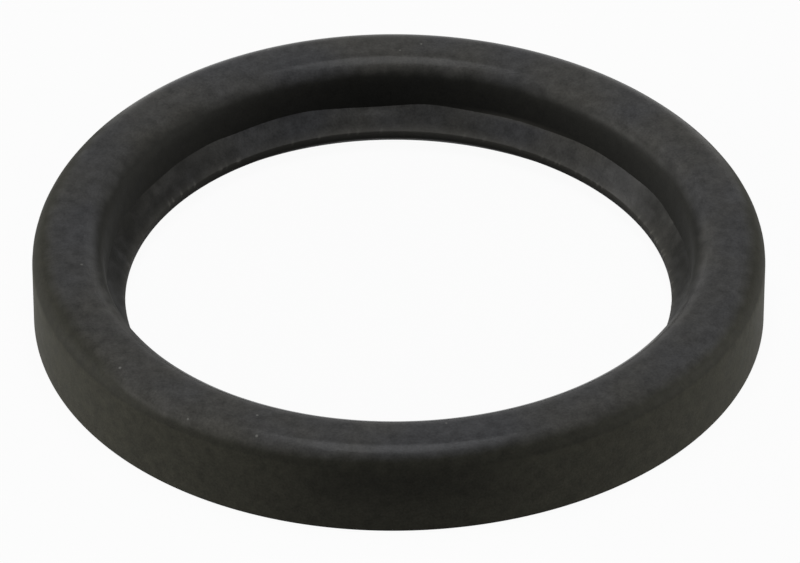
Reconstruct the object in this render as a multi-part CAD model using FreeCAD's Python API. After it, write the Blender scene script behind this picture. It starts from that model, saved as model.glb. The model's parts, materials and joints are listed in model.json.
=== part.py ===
# Oil filler cap seal: one moulded rubber ring with a rounded crown, a flat base and an inner lip.
# Sizes are in millimetres. +Z runs up the ring's axis, and the origin is the centre of the flat base.
# The ring is its section turned once around the axis, so every size below is a size of that section.

import FreeCAD
import Part

import math
import os

# Radial sizes, from the axis outwards
LIP_BORE_RADIUS = 20.2  # inner edge of the lip, which grips the boss of the cap
LIP_REACH = 1.3  # how far the lip stands inside the throat, where the body's bore is narrowest
BODY_WIDTH = 5.5  # from the throat to the outer wall
UNDERSIDE_WIDTH = 1.35  # the sloped underside of the lip, from its tip to the flat base

# Heights, from the base upwards
LIP_CLEARANCE = 1.1  # gap under the tip of the lip
LIP_TIP_HEIGHT = 0.65  # upright wall at the tip of the lip
LIP_SLOPE_HEIGHT = 1.6  # rise of the sloped top of the lip, from its tip to the throat
CROWN_HEIGHT = 3.55  # body above the throat

# The body's bore opens upwards from the throat, by this many degrees from upright
BORE_TAPER = 6.0

# Rounded edges
CROWN_OUTER_ROUND = 1.9
CROWN_INNER_ROUND = 1.9
BASE_EDGE_ROUND = 0.3
LIP_UPPER_ROUND = 0.15
LIP_LOWER_ROUND = 0.4

# Radii and heights that follow from the sizes above
THROAT_RADIUS = LIP_BORE_RADIUS + LIP_REACH
OUTER_RADIUS = THROAT_RADIUS + BODY_WIDTH
BASE_INNER_RADIUS = LIP_BORE_RADIUS + UNDERSIDE_WIDTH
CROWN_INNER_RADIUS = THROAT_RADIUS + CROWN_HEIGHT * math.tan(math.radians(BORE_TAPER))
LIP_TOP = LIP_CLEARANCE + LIP_TIP_HEIGHT
THROAT_LEVEL = LIP_TOP + LIP_SLOPE_HEIGHT
HEIGHT = THROAT_LEVEL + CROWN_HEIGHT

AXIS_POINT = FreeCAD.Vector(0, 0, 0)
AXIS_DIRECTION = FreeCAD.Vector(0, 0, 1)
FULL_TURN = 360
SHARP = 0.0


def section_point(radius, height):
    """Point of the section, at a distance from the axis and a height above the base."""
    return FreeCAD.Vector(radius, 0, height)


def body_corners():
    """Corners of the body from its sharp inner foot up over the crown, each with its round."""
    return [
        (section_point(BASE_INNER_RADIUS, 0), SHARP),
        (section_point(OUTER_RADIUS, 0), BASE_EDGE_ROUND),
        (section_point(OUTER_RADIUS, HEIGHT), CROWN_OUTER_ROUND),
        (section_point(CROWN_INNER_RADIUS, HEIGHT), CROWN_INNER_ROUND),
    ]


def lip_corners():
    """Corners of the lip from the sharp crease at the throat down to its tip, each with its round."""
    return [
        (section_point(THROAT_RADIUS, THROAT_LEVEL), SHARP),
        (section_point(LIP_BORE_RADIUS, LIP_TOP), LIP_UPPER_ROUND),
        (section_point(LIP_BORE_RADIUS, LIP_CLEARANCE), LIP_LOWER_ROUND),
    ]


def corner_round(before, corner, after, radius):
    """Arc that rounds a corner, touching the straight runs from before it and on to after it."""
    to_before = (before - corner).normalize()
    to_after = (after - corner).normalize()
    inwards = (to_before + to_after).normalize()
    half_angle = to_before.getAngle(to_after) / 2
    reach = radius / math.tan(half_angle)
    depth = radius / math.sin(half_angle) - radius
    return Part.Arc(corner + to_before * reach, corner + inwards * depth, corner + to_after * reach)


def section_face(corners):
    """Closed section through the corners in order, with each of them rounded by its radius."""
    points = [point for point, radius in corners]
    befores = points[-1:] + points[:-1]
    afters = points[1:] + points[:1]
    starts, ends, edges = [], [], []
    for before, (corner, radius), after in zip(befores, corners, afters):
        if radius > SHARP:
            arc = corner_round(before, corner, after, radius)
            edges.append(arc.toShape())
            starts.append(arc.StartPoint)
            ends.append(arc.EndPoint)
        else:
            starts.append(corner)
            ends.append(corner)
    for end, next_start in zip(ends, starts[1:] + starts[:1]):
        edges.append(Part.LineSegment(end, next_start).toShape())
    return Part.Face(Part.Wire(Part.__sortEdges__(edges)))


def seal_ring():
    """The whole seal: its section turned once around the axis."""
    section = section_face(body_corners() + lip_corners())
    return section.revolve(AXIS_POINT, AXIS_DIRECTION, FULL_TURN)


def main():
    """Write the one sub-part of the seal."""
    os.makedirs("parts", exist_ok=True)
    seal_ring().exportStep("parts/seal_ring.step")


main()
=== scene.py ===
"""Oil filler cap seal: one moulded rubber ring with its clouding, bloom and dust, and painted light
and shade, on a pale studio floor.
"""

import json
import logging
import math
from dataclasses import dataclass, field
from enum import Enum

import bmesh
import bpy
from mathutils import Matrix, Vector, noise


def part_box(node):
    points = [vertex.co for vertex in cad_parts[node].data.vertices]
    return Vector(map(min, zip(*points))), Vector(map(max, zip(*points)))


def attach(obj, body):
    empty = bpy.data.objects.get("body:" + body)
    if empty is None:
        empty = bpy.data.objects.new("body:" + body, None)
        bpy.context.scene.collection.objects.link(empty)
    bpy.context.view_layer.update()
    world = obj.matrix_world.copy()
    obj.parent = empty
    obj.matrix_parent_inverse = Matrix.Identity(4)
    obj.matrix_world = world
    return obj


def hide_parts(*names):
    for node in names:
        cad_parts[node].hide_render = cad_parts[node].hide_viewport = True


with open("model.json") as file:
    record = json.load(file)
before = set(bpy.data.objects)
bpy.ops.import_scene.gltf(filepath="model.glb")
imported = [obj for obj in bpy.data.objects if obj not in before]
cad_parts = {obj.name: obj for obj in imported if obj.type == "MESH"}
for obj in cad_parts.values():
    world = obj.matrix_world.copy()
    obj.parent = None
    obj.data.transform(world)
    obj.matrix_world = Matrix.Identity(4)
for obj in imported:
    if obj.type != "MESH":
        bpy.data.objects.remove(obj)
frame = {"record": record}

MM = 0.001
FULL_TURN = 2 * math.pi
MIDDLE = 0.5
UP = Vector((0.0, 0.0, 1.0))
Colour = tuple[float, float, float, float]
Span = tuple[float, float]
Value = bpy.types.NodeSocket | float
log = logging.getLogger("seal")
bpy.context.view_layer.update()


class Ray(Enum):
    """Kinds of ray that see the white surroundings, by their Light Path output."""

    CAMERA = "Is Camera Ray"
    GLOSSY = "Is Glossy Ray"
    TRANSMISSION = "Is Transmission Ray"


class Lean(Enum):
    """Where a lamp stands round the object, as a direction on the floor."""

    FRONT = (0.0, -1.0)
    LEFT = (-1.0, 0.0)
    RIGHT = (1.0, 0.0)


class Graph:
    """A node tree with short ways to add nodes and join them."""

    def __init__(self, tree: bpy.types.NodeTree) -> None:
        """Take over a node tree and empty it.

        Args:
            tree: The tree of a material, a world or a group.
        """
        self.tree = tree
        tree.nodes.clear()

    def add(self, kind: str, inputs: dict | None = None, **settings: object) -> bpy.types.Node:
        """Add one node.

        Args:
            kind: The node's type name.
            inputs: Values or output sockets, by the input's name or index.
            settings: Properties of the node itself.

        Returns:
            The new node.
        """
        node = self.tree.nodes.new(kind)
        for name, value in settings.items():
            setattr(node, name, value)
        for key, value in (inputs or {}).items():
            self.feed(node.inputs[key], value)
        return node

    def feed(self, socket: bpy.types.NodeSocket, value: object) -> None:
        """Join an output to a socket, or set the socket to a plain value.

        Args:
            socket: The input that is fed.
            value: An output socket, or the value itself.
        """
        if isinstance(value, bpy.types.NodeSocket):
            self.tree.links.new(value, socket)
        else:
            socket.default_value = value

    def math(self, operation: str, *values: Value) -> bpy.types.NodeSocket:
        """Add a Math node.

        Args:
            operation: Name of the operation.
            values: Its operands, as numbers or output sockets.

        Returns:
            The result's socket.
        """
        inputs = dict(enumerate(values))
        return self.add("ShaderNodeMath", inputs, operation=operation).outputs[0]

    def ramp(self, value: Value, low: Value, high: Value, start: Value = 0.0,
             end: Value = 1.0) -> bpy.types.NodeSocket:
        """Turn one range of a value smoothly into another.

        Args:
            value: The value that is read.
            low: Where the range starts.
            high: Where it ends.
            start: The result at low and below.
            end: The result at high and above.

        Returns:
            The result's socket.
        """
        inputs = {"Value": value, "From Min": low, "From Max": high, "To Min": start, "To Max": end}
        node = self.add("ShaderNodeMapRange", inputs, interpolation_type="SMOOTHSTEP")
        return node.outputs["Result"]

    def blend(self, factor: Value, first: object, second: object) -> bpy.types.NodeSocket:
        """Mix two colours.

        Args:
            factor: Share of the second colour.
            first: The colour at 0, as a socket or plain.
            second: The colour at 1, as a socket or plain.

        Returns:
            The mixed colour's socket.
        """
        inputs = {"Factor": factor, "A": first, "B": second}
        node = self.tree.nodes.new("ShaderNodeMix")
        node.data_type = "RGBA"
        for socket in node.inputs:
            if socket.enabled and socket.name in inputs:
                self.feed(socket, inputs[socket.name])
        return next(socket for socket in node.outputs if socket.enabled)


class GroupGraph(Graph):
    """A shader node group with named inputs and outputs, for one effect."""

    def __init__(self, name: str, inputs: dict[str, tuple[str, object]],
                 outputs: dict[str, str]) -> None:
        """Make the group and its sockets.

        Args:
            name: The effect's name.
            inputs: Socket type and default by input name; a default of None is left as it is.
            outputs: Socket type by output name.
        """
        super().__init__(bpy.data.node_groups.new(name, "ShaderNodeTree"))
        for label, (kind, default) in inputs.items():
            socket = self.tree.interface.new_socket(label, in_out="INPUT", socket_type=kind)
            if default is not None:
                socket.default_value = default
        for label, kind in outputs.items():
            self.tree.interface.new_socket(label, in_out="OUTPUT", socket_type=kind)
        self.given = self.add("NodeGroupInput").outputs
        self.result = self.add("NodeGroupOutput").inputs

    def noise(self, scale: Value, detail: float) -> bpy.types.NodeSocket:
        """Add noise at the place that the group is given.

        Args:
            scale: Its cells per metre.
            detail: How much finer noise it holds.

        Returns:
            A socket with the noise, around the middle of 0 to 1.
        """
        inputs = {"Vector": self.given["Place"], "Scale": scale, "Detail": detail}
        return self.add("ShaderNodeTexNoise", inputs).outputs[0]

    def place(self, graph: Graph, inputs: dict) -> bpy.types.NodeOutputs:
        """Put the group into a material.

        Args:
            graph: The material's graph.
            inputs: Values or output sockets by input name.

        Returns:
            The outputs of the placed group.
        """
        return graph.add("ShaderNodeGroup", inputs, node_tree=self.tree).outputs


def mottling_group(finer: float = 7.0, broad_span: Span = (0.32, 0.68),
                   fine_span: Span = (0.2, 0.8)) -> GroupGraph:
    """Clouding of a moulded surface: broad soft patches, and finer ones apart.

    Args:
        finer: How many times smaller the fine patches are than the broad ones.
        broad_span: The noise that makes the broad patches run from 0 to 1.
        fine_span: The noise that makes the fine patches run from 0 to 1.

    Returns:
        The group, with the broad and the fine patches as values.
    """
    group = GroupGraph(
        "moulded_clouding",
        {"Place": ("NodeSocketVector", None), "Patches per metre": ("NodeSocketFloat", 120.0)},
        {"Broad": "NodeSocketFloat", "Fine": "NodeSocketFloat"},
    )
    scale = group.given["Patches per metre"]
    broad = group.noise(scale, detail=2.0)
    fine = group.noise(group.math("MULTIPLY", scale, finer), detail=1.0)
    group.feed(group.result["Broad"], group.ramp(broad, *broad_span))
    group.feed(group.result["Fine"], group.ramp(fine, *fine_span))
    return group


def grain_group(coarser: float = 0.22, coarse_share: float = 0.8) -> GroupGraph:
    """Fine grain that the mould leaves on rubber, with coarser grain added to it.

    Args:
        coarser: Coarse grains per fine grain.
        coarse_share: Height of the coarse grain against the fine one's.

    Returns:
        The group, with the grain's height as a value.
    """
    group = GroupGraph(
        "mould_grain",
        {"Place": ("NodeSocketVector", None), "Grains per metre": ("NodeSocketFloat", 6000.0)},
        {"Height": "NodeSocketFloat"},
    )
    scale = group.given["Grains per metre"]
    fine = group.noise(scale, detail=3.0)
    coarse = group.noise(group.math("MULTIPLY", scale, coarser), detail=2.0)
    group.feed(group.result["Height"], group.math("MULTIPLY_ADD", coarse, coarse_share, fine))
    return group


def bloom_and_top_light_group() -> GroupGraph:
    """Faint pale bloom and painted top light on the faces that look up, ragged at its edge and cut
    back by painted shade.

    Returns:
        The group, with the bloom and painted top light as a mask.
    """
    group = GroupGraph(
        "bloom_and_painted_top_light",
        {
            "Facing": ("NodeSocketVector", None),
            "Edge": ("NodeSocketFloat", 0.5),
            "Raggedness": ("NodeSocketFloat", 0.1),
            "Painted shade": ("NodeSocketFloat", 0.0),
            "Starts": ("NodeSocketFloat", 0.3),
            "Full": ("NodeSocketFloat", 1.0),
        },
        {"Mask": "NodeSocketFloat"},
    )
    upward = group.add("ShaderNodeSeparateXYZ", {0: group.given["Facing"]}).outputs["Z"]
    kept = group.math("SUBTRACT", upward, group.given["Painted shade"])
    centred = group.math("SUBTRACT", group.given["Edge"], MIDDLE)
    reach = group.math("MULTIPLY_ADD", centred, group.given["Raggedness"], kept)
    mask = group.ramp(reach, group.given["Starts"], group.given["Full"])
    group.feed(group.result["Mask"], mask)
    return group


def facing_masks_group(outer_span: Span = (-0.2, 0.4),
                   upright_span: Span = (0.96, 0.995)) -> GroupGraph:
    """Faces that look away from the ring's axis, and their way round the ring, as masks for painted
    shade and painted light.

    Args:
        outer_span: How far outwards a face looks where it starts to be an outer one, and where
            it fully is.
        upright_span: The same for the upright faces.

    Returns:
        The group, with the outer faces and the upright ones among them as masks, and the place
        from the left, at -1, to the right, at 1.
    """
    group = GroupGraph(
        "outward_facing_masks",
        {"Place": ("NodeSocketVector", None), "Facing": ("NodeSocketVector", None)},
        {"Outer": "NodeSocketFloat", "Upright": "NodeSocketFloat", "Across": "NodeSocketFloat"},
    )
    flat = group.add(
        "ShaderNodeVectorMath", {0: group.given["Place"], 1: (1.0, 1.0, 0.0)}, operation="MULTIPLY"
    )
    outward = group.add(
        "ShaderNodeVectorMath", {0: flat.outputs["Vector"]}, operation="NORMALIZE"
    ).outputs["Vector"]
    agreement = group.add(
        "ShaderNodeVectorMath", {0: outward, 1: group.given["Facing"]}, operation="DOT_PRODUCT"
    ).outputs["Value"]
    across = group.add("ShaderNodeSeparateXYZ", {0: outward}).outputs["X"]
    group.feed(group.result["Outer"], group.ramp(agreement, *outer_span))
    group.feed(group.result["Upright"], group.ramp(agreement, *upright_span))
    group.feed(group.result["Across"], across)
    return group


def tone_group(clouding_share: float = 0.6, grain_share: float = 3.2,
               mean_grain: float = 0.9) -> GroupGraph:
    """Uneven tone: a colour made lighter and darker by its clouding and its grain.

    Args:
        clouding_share: Weight of the clouding.
        grain_share: Weight of the grain.
        mean_grain: Height of the grain where it leaves the colour as it is.

    Returns:
        The group, with the uneven colour.
    """
    group = GroupGraph(
        "uneven_tone",
        {
            "Colour": ("NodeSocketColor", None),
            "Clouding": ("NodeSocketFloat", MIDDLE),
            "Grain": ("NodeSocketFloat", mean_grain),
            "Strength": ("NodeSocketFloat", 0.3),
        },
        {"Colour": "NodeSocketColor"},
    )
    centred = group.math("SUBTRACT", group.given["Clouding"], MIDDLE)
    clouded = group.math("MULTIPLY", centred, clouding_share)
    grained = group.math("SUBTRACT", group.given["Grain"], mean_grain)
    both = group.math("MULTIPLY_ADD", grained, grain_share, clouded)
    gain = group.math("MULTIPLY_ADD", both, group.given["Strength"], 1.0)
    scaled = group.add(
        "ShaderNodeVectorMath", {0: group.given["Colour"], "Scale": gain}, operation="SCALE"
    )
    group.feed(group.result["Colour"], scaled.outputs["Vector"])
    return group


def dust_group(core: float = 0.5) -> GroupGraph:
    """Sparse specks of dust, each a small round dot in its own cell.

    Args:
        core: Share of a speck's radius that is fully covered, inside its soft rim.

    Returns:
        The group, with the specks as a mask.
    """
    group = GroupGraph(
        "dust_specks",
        {
            "Place": ("NodeSocketVector", None),
            "Cells per metre": ("NodeSocketFloat", 700.0),
            "Speck size": ("NodeSocketFloat", 0.12),
            "Share of cells": ("NodeSocketFloat", 0.06),
        },
        {"Mask": "NodeSocketFloat"},
    )
    cells = group.add("ShaderNodeTexVoronoi", {
        "Vector": group.given["Place"],
        "Scale": group.given["Cells per metre"],
    }).outputs
    chance = group.add("ShaderNodeSeparateColor", {0: cells["Color"]}).outputs[0]
    chosen = group.math("LESS_THAN", chance, group.given["Share of cells"])
    away = group.math("DIVIDE", cells["Distance"], group.given["Speck size"])
    dot = group.ramp(away, core, 1.0, start=1.0, end=0.0)
    group.feed(group.result["Mask"], group.math("MULTIPLY", chosen, dot))
    return group


@dataclass(frozen=True)
class RubberFinishAndPaintedLight:
    """Satin black moulded rubber, faintly clouded, with pale bloom, dust and pale flash, and with
    painted shade inside, painted light on its top and wall, and painted highlights on its edges.
    """

    # The rubber: painted shade inside the ring, its own colour on its outer round, and painted
    # light on its upright wall
    painted_shade_inside: Colour = (0.0060, 0.0060, 0.0052, 1.0)
    shoulder: Colour = (0.0128, 0.0126, 0.0098, 1.0)
    painted_wall_light: Colour = (0.0196, 0.0192, 0.0148, 1.0)

    # What lies on it: pale bloom that also paints light on the faces that look up, dust, and pale
    # flash with painted highlights
    cool_bloom_and_light: Colour = (0.0305, 0.0308, 0.0322, 1.0)
    warm_bloom_and_light: Colour = (0.0336, 0.0326, 0.0298, 1.0)
    dust_colour: Colour = (0.085, 0.085, 0.080, 1.0)
    flash_and_highlight_colour: Colour = (0.085, 0.082, 0.074, 1.0)

    # How far up a face looks, as the height of its unit normal, where the bloom and painted top
    # light start and are full
    bloom_and_light_starts: float = 0.32
    full_outside: float = 0.72
    full_on_lip: float = 0.69
    full_in_bore: float = 0.86
    lip_level: float = 3.4 * MM
    bore_level: float = 4.4 * MM
    bloom_and_light_ragged: float = 0.08

    # How far painted shade cuts the bloom and painted top light back, more on the right of the
    # front and most at the two ends; the spans are places across the ring, whose ends are at -1 and
    # 1
    painted_shade_left: float = 0.08
    painted_shade_right: float = 0.26
    front_span: Span = (-0.4, 0.4)
    painted_shade_outer_end: float = 0.38
    outer_end_span: Span = (0.74, 1.04)
    painted_shade_inner_end: float = 0.21
    inner_end_span: Span = (0.55, 1.0)
    end_lean: float = 0.12

    # Painted light and shade on the upright wall: lighter below these heights and towards the two
    # ends, darker above them near the middle of the front and back
    wall_light_heights: Span = (1.5 * MM, 4.0 * MM)
    wall_light_side_span: Span = (0.1, 0.35)

    # How the surface shines, and the sizes of its clouding, grain and dust
    uneven_tone: float = 0.3
    specular_level: float = 0.05
    wall_roughness: float = 0.6
    crown_roughness: float = 0.19
    dulled: float = 0.06
    patches_per_metre: float = 120.0
    grains_per_metre: float = 6000.0
    grain_depth: float = 0.008 * MM
    dust_cells_per_metre: float = 600.0
    dust_size: float = 0.08
    dust_share: float = 0.2
    flash_and_highlight_attribute: str = "flash_and_highlight"

    def painted_shade_amount(self, graph: Graph, outer: Value, across: Value) -> bpy.types.NodeSocket:
        """Work out how far painted shade cuts the bloom and painted top light back, most of all at
        the two ends.

        Args:
            graph: The material's graph.
            outer: The outer faces as a mask.
            across: The place from the left, at -1, to the right, at 1.

        Returns:
            A socket with the amount.
        """
        from_middle = graph.math("ABSOLUTE", graph.math("SUBTRACT", across, self.end_lean))
        outside = graph.math(
            "ADD",
            graph.ramp(across, *self.front_span, self.painted_shade_left, self.painted_shade_right),
            graph.ramp(from_middle, *self.outer_end_span, 0.0, self.painted_shade_outer_end),
        )
        inside = graph.ramp(from_middle, *self.inner_end_span, 0.0, self.painted_shade_inner_end)
        return graph.math("MULTIPLY_ADD", outer, graph.math("SUBTRACT", outside, inside), inside)

    def bloom_and_light_full(self, graph: Graph, outer: Value, height: Value) -> bpy.types.NodeSocket:
        """Work out how far up a face looks where its bloom and painted top light are full: furthest
        in the bore.

        Args:
            graph: The material's graph.
            outer: The outer faces as a mask.
            height: The height above the base.

        Returns:
            A socket with the height of the face's unit normal.
        """
        inside = graph.ramp(
            height, self.lip_level, self.bore_level, self.full_on_lip, self.full_in_bore
        )
        return graph.ramp(outer, 0.0, 1.0, inside, self.full_outside)

    def rubber_and_painted_shade(self, graph: Graph, facing_masks: bpy.types.NodeOutputs,
                    height: Value) -> bpy.types.NodeSocket:
        """Colour the rubber under its bloom and painted top light: painted shade inside, painted
        light on the upright wall.

        Args:
            graph: The material's graph.
            facing_masks: The masks of the outward faces.
            height: The height above the base.

        Returns:
            A socket with the colour.
        """
        # Painted light on the upright wall, low down and towards the two ends; painted shade inside
        # the ring
        low = graph.ramp(height, *self.wall_light_heights, 1.0, 0.0)
        sides = graph.ramp(graph.math("ABSOLUTE", facing_masks["Across"]), *self.wall_light_side_span)
        pale = graph.math("MULTIPLY", facing_masks["Upright"], graph.math("MAXIMUM", low, sides))
        outside = graph.blend(pale, self.shoulder, self.painted_wall_light)
        return graph.blend(facing_masks["Outer"], self.painted_shade_inside, outside)

    def material(self) -> bpy.types.Material:
        """Make the rubber's material.

        Returns:
            The material, which reads Object coordinates, the faces' directions and the attribute
            that marks the ring's pale flash and painted edge highlights.
        """
        made = bpy.data.materials.new("moulded_rubber")
        made.use_nodes = True
        graph = Graph(made.node_tree)
        coordinates = graph.add("ShaderNodeTexCoord").outputs
        place = coordinates["Object"]
        clouding = mottling_group().place(
            graph, {"Place": place, "Patches per metre": self.patches_per_metre}
        )
        facing_masks = facing_masks_group().place(graph, {"Place": place, "Facing": coordinates["Normal"]})
        height = graph.add("ShaderNodeSeparateXYZ", {0: place}).outputs["Z"]
        # Pale bloom and painted top light on the faces that look up, cut back by painted shade
        bloom_and_top_light = bloom_and_top_light_group().place(graph, {
            "Facing": coordinates["Normal"],
            "Edge": clouding["Fine"],
            "Raggedness": self.bloom_and_light_ragged,
            # Painted shade, which cuts the painted top light back
            "Painted shade": self.painted_shade_amount(graph, facing_masks["Outer"], facing_masks["Across"]),
            "Starts": self.bloom_and_light_starts,
            "Full": self.bloom_and_light_full(graph, facing_masks["Outer"], height),
        })["Mask"]
        dust = dust_group().place(graph, {
            "Place": place,
            "Cells per metre": self.dust_cells_per_metre,
            "Speck size": self.dust_size,
            "Share of cells": self.dust_share,
        })["Mask"]
        grain = grain_group().place(
            graph, {"Place": place, "Grains per metre": self.grains_per_metre}
        )["Height"]
        flash_and_highlight = graph.add("ShaderNodeAttribute", attribute_name=self.flash_and_highlight_attribute).outputs["Fac"]
        bloom_and_light_colour = graph.blend(clouding["Broad"], self.warm_bloom_and_light, self.cool_bloom_and_light)
        rubber = graph.blend(bloom_and_top_light, self.rubber_and_painted_shade(graph, facing_masks, height), bloom_and_light_colour)
        uneven = tone_group().place(graph, {
            "Colour": rubber,
            "Clouding": clouding["Fine"],
            "Grain": grain,
            "Strength": self.uneven_tone,
        })["Colour"]
        dusty = graph.blend(graph.math("MULTIPLY", dust, bloom_and_top_light), uneven, self.dust_colour)
        # Pale flash, and painted highlights on the lip's tip and the crease
        colour = graph.blend(flash_and_highlight, dusty, self.flash_and_highlight_colour)
        polish = graph.math(
            "MULTIPLY_ADD", bloom_and_top_light, self.crown_roughness - self.wall_roughness, self.wall_roughness
        )
        roughness = graph.math("MULTIPLY_ADD", clouding["Fine"], self.dulled, polish)
        bump = graph.add("ShaderNodeBump", {"Height": grain, "Distance": self.grain_depth})
        shader = graph.add("ShaderNodeBsdfPrincipled", {
            "Base Color": colour,
            "Roughness": roughness,
            "Specular IOR Level": self.specular_level,
            "Normal": bump.outputs[0],
        })
        graph.add("ShaderNodeOutputMaterial", {"Surface": shader.outputs[0]})
        return made


@dataclass(frozen=True)
class Corner:
    """One corner of the ring's section."""

    radius: float
    height: float
    rounding: float = 0.0

    def point(self) -> Vector:
        """Place of the corner in the plane of the section."""
        return Vector((self.radius, 0.0, self.height))


def way_out(vert: bmesh.types.BMVert) -> Vector:
    """Level direction from the ring's axis to a vertex."""
    return Vector((vert.co.x, vert.co.y, 0.0)).normalized()


def hump(vert: bmesh.types.BMVert, place: float, width: float) -> float:
    """Soft hump round the ring, which is 1 at its place and falls off to both sides."""
    return math.exp(-((math.atan2(vert.co.y, vert.co.x) - place) / width) ** 2)


@dataclass
class SealRing:
    """The whole seal: its section turned once round, with the small faults of its moulding and
    painted highlights on its edges.
    """

    # The section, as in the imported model
    outer_radius: float
    height: float
    lip_bore_radius: float
    lip_reach: float = 1.3 * MM
    underside_width: float = 1.35 * MM
    lip_clearance: float = 1.1 * MM
    lip_tip_height: float = 0.65 * MM
    lip_slope_height: float = 1.6 * MM
    bore_taper: float = math.radians(6.0)
    crown_outer_round: float = 1.9 * MM
    crown_inner_round: float = 1.9 * MM
    base_edge_round: float = 0.3 * MM
    lip_upper_round: float = 0.15 * MM
    lip_lower_round: float = 0.4 * MM

    # How finely it is divided
    round_steps: int = 9
    turn_steps: int = 720
    longest_run: float = 0.4 * MM
    same_place: float = 0.01 * MM
    merge_distance: float = 0.0005 * MM

    # Painted highlight that pales the tip of the lip, more of it at the back
    tip_highlight: float = 0.2
    added_tip_highlight: float = 0.36
    tip_highlight_place: float = math.radians(85.0)
    tip_highlight_width: float = math.radians(25.0)
    tip_highlight_reach: float = 0.6 * MM

    # Nibs of flash on the tip: noise with finer noise in it, of which only the peaks count
    flash_reach: float = 0.11 * MM
    flash_height: float = 0.03 * MM
    flash_nibs: float = 75.0
    finer_nibs: float = 3.1
    finer_share: float = 0.5
    nib_threshold: float = 0.3
    nib_gain: float = 3.0
    nib_limit: float = 0.8

    # The crease's rise and fall, its sag, and the painted highlight line on it
    crease_reach: float = 1.1 * MM
    crease_waver: float = 0.3 * MM
    crease_waves: float = 5.0
    crease_sag: float = 0.13 * MM
    sag_place: float = math.radians(95.0)
    sag_width: float = math.radians(16.0)
    line_reach: float = 0.13 * MM
    line_share: float = 0.28
    line_place: float = math.radians(66.0)
    line_width: float = math.radians(9.0)

    # How the soft ring lies out of round
    lobes: int = 3
    lobe_share: float = 0.005
    lobe_place: float = math.radians(-13.6)
    lobe_room: float = 0.004

    finish_and_painted_light: RubberFinishAndPaintedLight = field(default_factory=RubberFinishAndPaintedLight)

    @classmethod
    def from_frame(cls, record: dict) -> "SealRing":
        """Take the ring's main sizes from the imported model.

        Args:
            record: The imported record, whose mounts give the lip's bore.

        Returns:
            The ring, with its other sizes at their defaults.
        """
        low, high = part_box("seal_ring")
        bore = next(mount for mount in record["mounts"] if mount["name"] == "lip_bore")
        return cls(
            outer_radius=high.x,
            height=high.z - low.z,
            lip_bore_radius=bore["dims"]["r_mm"] * MM,
        )

    @property
    def throat(self) -> Corner:
        """The sharp crease where the body's bore meets the sloped top of the lip."""
        level = self.lip_clearance + self.lip_tip_height + self.lip_slope_height
        return Corner(self.lip_bore_radius + self.lip_reach, level)

    @property
    def tip(self) -> Corner:
        """The upper corner of the lip's tip."""
        level = self.lip_clearance + self.lip_tip_height
        return Corner(self.lip_bore_radius, level, self.lip_upper_round)

    @property
    def foot(self) -> Corner:
        """The sharp inner edge of the flat base."""
        return Corner(self.lip_bore_radius + self.underside_width, 0.0)

    def corners(self) -> list[Corner]:
        """List the section's corners in order.

        Returns:
            The corners, from the inner edge of the base out, up, over the crown and down the bore.
        """
        opening = (self.height - self.throat.height) * math.tan(self.bore_taper)
        return [
            self.foot,
            Corner(self.outer_radius, 0.0, self.base_edge_round),
            Corner(self.outer_radius, self.height, self.crown_outer_round),
            Corner(self.throat.radius + opening, self.height, self.crown_inner_round),
            self.throat,
            self.tip,
            Corner(self.lip_bore_radius, self.lip_clearance, self.lip_lower_round),
        ]

    def section(self) -> bmesh.types.BMesh:
        """Draw the section, round its corners and divide its long runs.

        Returns:
            A mesh of the section's outline, with no face.
        """
        drawn = bmesh.new()
        corners = self.corners()
        points = [corner.point() for corner in corners]
        verts = [drawn.verts.new(point) for point in points]
        drawn.faces.new(verts)
        for index, (corner, vert) in enumerate(zip(corners, verts)):
            if corner.rounding:
                to_before = points[index - 1] - points[index]
                to_after = points[(index + 1) % len(points)] - points[index]
                reach = corner.rounding / math.tan(to_before.angle(to_after) / 2)
                bmesh.ops.bevel(drawn, geom=[vert], offset=reach, offset_type="OFFSET",
                                affect="VERTICES", segments=self.round_steps, profile=0.5,
                                material=-1)
        bmesh.ops.delete(drawn, geom=drawn.faces[:], context="FACES_ONLY")
        for edge in list(drawn.edges):
            cuts = math.ceil(edge.calc_length() / self.longest_run) - 1
            if cuts > 0:
                bmesh.ops.subdivide_edges(drawn, edges=[edge], cuts=cuts)
        return drawn

    def gap_to(self, vert: bmesh.types.BMVert, corner: Corner) -> float:
        """How far a vertex of the turned ring lies from the circle of a corner."""
        radius = math.hypot(vert.co.x, vert.co.y)
        return math.hypot(radius - corner.radius, vert.co.z - corner.height)

    def keep_sharp(self, mesh: bmesh.types.BMesh) -> None:
        """Shade the ring smooth, apart from its crease and the inner edge of its base.

        Args:
            mesh: The turned ring.
        """
        for face in mesh.faces:
            face.smooth = True
        for corner in (self.throat, self.foot):
            circle = {vert for vert in mesh.verts if self.gap_to(vert, corner) < self.same_place}
            for edge in {edge for vert in circle for edge in vert.link_edges}:
                edge.smooth = not circle.issuperset(edge.verts)

    def paint_edge_highlights(self, mesh: bmesh.types.BMesh) -> None:
        """Mark painted highlights on the tip of the lip and on a short line of the crease.

        Args:
            mesh: The turned ring, which gets the attribute that its material reads.
        """
        layer = mesh.verts.layers.float.new(self.finish_and_painted_light.flash_and_highlight_attribute)
        for vert in mesh.verts:
            at_tip = max(0.0, 1.0 - self.gap_to(vert, self.tip) / self.tip_highlight_reach)
            tip_highlight_amount = self.tip_highlight + self.added_tip_highlight * hump(vert, self.tip_highlight_place, self.tip_highlight_width)
            at_crease = max(0.0, 1.0 - self.gap_to(vert, self.throat) / self.line_reach)
            line = self.line_share * hump(vert, self.line_place, self.line_width)
            # Painted highlight on the tip of the lip and on a short line of the crease
            vert[layer] = at_tip * tip_highlight_amount + at_crease * line

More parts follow.
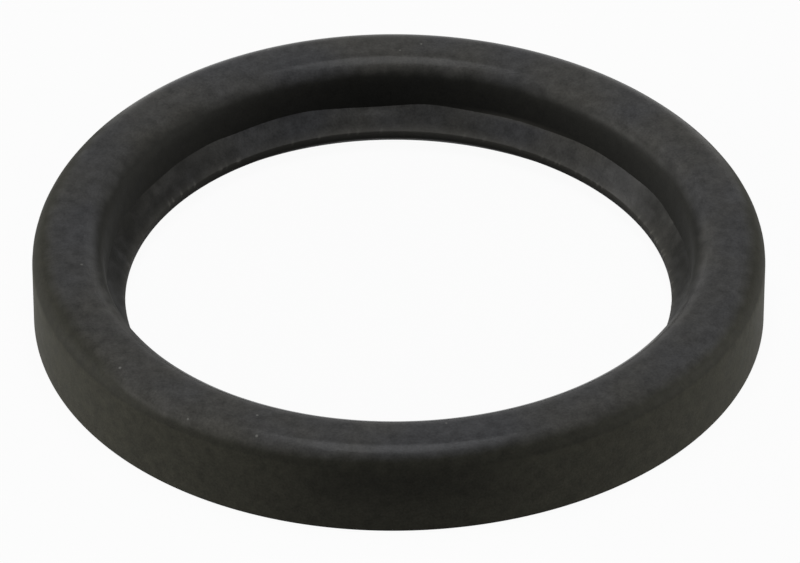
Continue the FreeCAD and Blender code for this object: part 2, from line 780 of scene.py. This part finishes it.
    def raise_flash(self, mesh: bmesh.types.BMesh) -> None:
        """Raise small pale nibs of flash along the upper edge of the lip's tip.

        Args:
            mesh: The turned ring, with its painted edge highlights marked.
        """
        layer = mesh.verts.layers.float[self.finish_and_painted_light.flash_and_highlight_attribute]
        for vert in mesh.verts:
            nearness = 1.0 - self.gap_to(vert, self.tip) / self.flash_reach
            if nearness > 0.0:
                outward = way_out(vert)
                nib = noise.noise(outward * self.flash_nibs)
                nib += self.finer_share * noise.noise(outward * self.flash_nibs * self.finer_nibs)
                peak = min(self.nib_limit, max(0.0, nib - self.nib_threshold) * self.nib_gain)
                amount = nearness * peak
                vert[layer] += amount * (1.0 - vert[layer])
                vert.co += (UP - outward) * self.flash_height * amount

    def waver_crease(self, mesh: bmesh.types.BMesh) -> None:
        """Let the crease rise and fall a little on its way round, with one flat sag.

        Args:
            mesh: The turned ring.
        """
        for vert in mesh.verts:
            nearness = 1.0 - self.gap_to(vert, self.throat) / self.crease_reach
            if nearness > 0.0:
                waver = self.crease_waver * noise.noise(way_out(vert) * self.crease_waves)
                sag = self.crease_sag * hump(vert, self.sag_place, self.sag_width)
                smooth = nearness**2 * (3.0 - 2.0 * nearness)
                vert.co.z += (waver - sag) * smooth

    def settle(self, mesh: bmesh.types.BMesh) -> None:
        """Let the soft ring lie slightly out of round, inside the box of the true one.

        Args:
            mesh: The turned ring.
        """
        for vert in mesh.verts:
            around = math.atan2(vert.co.y, vert.co.x) - self.lobe_place
            vert.co.xy *= 1.0 + self.lobe_share * math.cos(self.lobes * around) - self.lobe_room

    def build(self) -> bpy.types.Object:
        """Turn the section into the ring and dress it.

        Returns:
            The finished ring, which stands for the plain solid.
        """
        mesh = self.section()
        bmesh.ops.spin(mesh, geom=mesh.verts[:] + mesh.edges[:], cent=(0.0, 0.0, 0.0), axis=UP,
                       angle=FULL_TURN, steps=self.turn_steps, use_merge=True, use_duplicate=False)
        bmesh.ops.remove_doubles(mesh, verts=mesh.verts, dist=self.merge_distance)
        self.keep_sharp(mesh)
        self.paint_edge_highlights(mesh)
        self.raise_flash(mesh)
        self.waver_crease(mesh)
        self.settle(mesh)
        bmesh.ops.recalc_face_normals(mesh, faces=mesh.faces)
        data = bpy.data.meshes.new("moulded_ring")
        mesh.to_mesh(data)
        mesh.free()
        ring = bpy.data.objects.new("moulded_ring", data)
        bpy.context.scene.collection.objects.link(ring)
        data.materials.append(self.finish_and_painted_light.material())
        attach(ring, "root")
        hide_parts("seal_ring")
        log.info("moulded ring: %d vertices, %d faces", len(data.vertices), len(data.polygons))
        return ring


@dataclass(frozen=True)
class Softbox:
    """One soft lamp that faces the object, leaning from overhead by its tilt."""

    name: str
    lean: Lean
    tilt: float
    distance: float
    width: float
    length: float
    radiance: float
    colour: tuple[float, float, float]

    def build(self) -> bpy.types.Object:
        """Hang the lamp and aim it at the object.

        Returns:
            The lamp, as bright as its radiance says.
        """
        lamp = bpy.data.lights.new(self.name, "AREA")
        lamp.shape = "RECTANGLE"
        lamp.size = self.width
        lamp.size_y = self.length
        lamp.energy = math.pi * self.radiance * self.width * self.length
        lamp.color = self.colour
        across, back = self.lean.value
        level = math.sin(self.tilt)
        aim = Vector((across * level, back * level, math.cos(self.tilt)))
        hung = bpy.data.objects.new(self.name, lamp)
        turn = aim.to_track_quat("Z", "Y").to_matrix().to_4x4()
        hung.matrix_world = Matrix.Translation(aim * self.distance) @ turn
        bpy.context.scene.collection.objects.link(hung)
        log.info("lamp %s", self.name)
        return hung


@dataclass(frozen=True)
class Studio:
    """Pale floor, white surroundings and soft lamps."""

    floor_size: float = 6.0
    floor_gap: float = 0.02 * MM
    floor_colour: Colour = (0.4, 0.4, 0.4, 1.0)
    white: Colour = (1.0, 1.0, 1.0, 1.0)
    seen_share: float = 0.95
    fill_strength: float = 0.12
    lamps: tuple[Softbox, ...] = (
        Softbox(name="overhead", lean=Lean.FRONT, tilt=math.radians(4.0), distance=0.7,
                width=0.38, length=0.46, radiance=8.2, colour=(0.97, 0.98, 1.0)),
        Softbox(name="left", lean=Lean.LEFT, tilt=math.radians(82.0), distance=1.2,
                width=0.8, length=0.32, radiance=28.0, colour=(1.0, 0.98, 0.93)),
        Softbox(name="right", lean=Lean.RIGHT, tilt=math.radians(84.0), distance=1.2,
                width=0.8, length=0.24, radiance=28.3, colour=(1.0, 0.98, 0.93)),
    )

    def seen(self, graph: Graph) -> bpy.types.NodeSocket:
        """Mark the rays that see the surroundings as white.

        Args:
            graph: The graph of the floor or the world.

        Returns:
            A socket that is 1 for those rays and 0 for others.
        """
        path = graph.add("ShaderNodeLightPath").outputs
        camera, glossy, transmission = (path[ray.value] for ray in Ray)
        return graph.math("MAXIMUM", graph.math("MAXIMUM", camera, glossy), transmission)

    def floor_material(self) -> bpy.types.Material:
        """Make the floor: pale and matt, whitened where it is seen, with the object's shadow kept.

        Returns:
            The material.
        """
        made = bpy.data.materials.new("pale_floor")
        made.use_nodes = True
        graph = Graph(made.node_tree)
        matt = graph.add("ShaderNodeBsdfDiffuse", {"Color": self.floor_colour})
        glow = graph.add("ShaderNodeEmission", {"Color": self.white, "Strength": 1.0})
        share = graph.math("MULTIPLY", self.seen(graph), self.seen_share)
        mixed = graph.add("ShaderNodeMixShader", {0: share, 1: matt.outputs[0], 2: glow.outputs[0]})
        graph.add("ShaderNodeOutputMaterial", {"Surface": mixed.outputs[0]})
        return made

    def build_floor(self) -> bpy.types.Object:
        """Lay the floor just under the ring.

        Returns:
            The floor.
        """
        mesh = bmesh.new()
        bmesh.ops.create_grid(mesh, x_segments=1, y_segments=1, size=self.floor_size / 2)
        bmesh.ops.translate(mesh, vec=(0.0, 0.0, -self.floor_gap), verts=mesh.verts)
        data = bpy.data.meshes.new("floor")
        mesh.to_mesh(data)
        mesh.free()
        floor = bpy.data.objects.new("floor", data)
        data.materials.append(self.floor_material())
        bpy.context.scene.collection.objects.link(floor)
        return floor

    def build_world(self) -> bpy.types.World:
        """Surround the scene with white, and light it softly from all round.

        Returns:
            The world.
        """
        world = bpy.data.worlds.new("white_surround")
        world.use_nodes = True
        graph = Graph(world.node_tree)
        strength = graph.ramp(self.seen(graph), 0.0, 1.0, start=self.fill_strength, end=1.0)
        backdrop = graph.add("ShaderNodeBackground", {"Color": self.white, "Strength": strength})
        graph.add("ShaderNodeOutputWorld", {"Surface": backdrop.outputs[0]})
        bpy.context.scene.world = world
        return world

    def build(self) -> None:
        """Set up the floor, the surroundings and the lamps."""
        self.build_floor()
        self.build_world()
        for lamp in self.lamps:
            lamp.build()
        bpy.context.scene.view_settings.view_transform = "Standard"
        log.info("studio: %d lamps", len(self.lamps))


@dataclass(frozen=True)
class PhotoCamera:
    """The camera at the photo's viewing angle."""

    elevation: float = math.radians(36.3)
    distance: float = 594.0 * MM
    side: float = 0.19 * MM
    drop: float = 1.985 * MM
    lens: float = 362.2
    sensor_width: float = 36.0

    def build(self) -> bpy.types.Object:
        """Place the camera in front of the ring, looking down at it.

        Returns:
            The camera, which is the scene's own.
        """
        data = bpy.data.cameras.new("photo_camera")
        data.lens = self.lens
        data.sensor_width = self.sensor_width
        camera = bpy.data.objects.new("photo_camera", data)
        across, up = math.cos(self.elevation), math.sin(self.elevation)
        camera.location = (
            self.side,
            -across * self.distance + up * self.drop,
            up * self.distance + across * self.drop,
        )
        camera.rotation_euler = (math.pi / 2 - self.elevation, 0.0, 0.0)
        bpy.context.scene.collection.objects.link(camera)
        bpy.context.scene.camera = camera
        log.info("camera: %.0f mm lens at %.0f mm", self.lens, self.distance / MM)
        return camera


def main() -> None:
    """Build the ring, the studio and the camera."""
    logging.basicConfig(level=logging.INFO, format="%(name)s: %(message)s")
    SealRing.from_frame(frame["record"]).build()
    Studio().build()
    PhotoCamera().build()


if __name__ == "__main__":
    main()
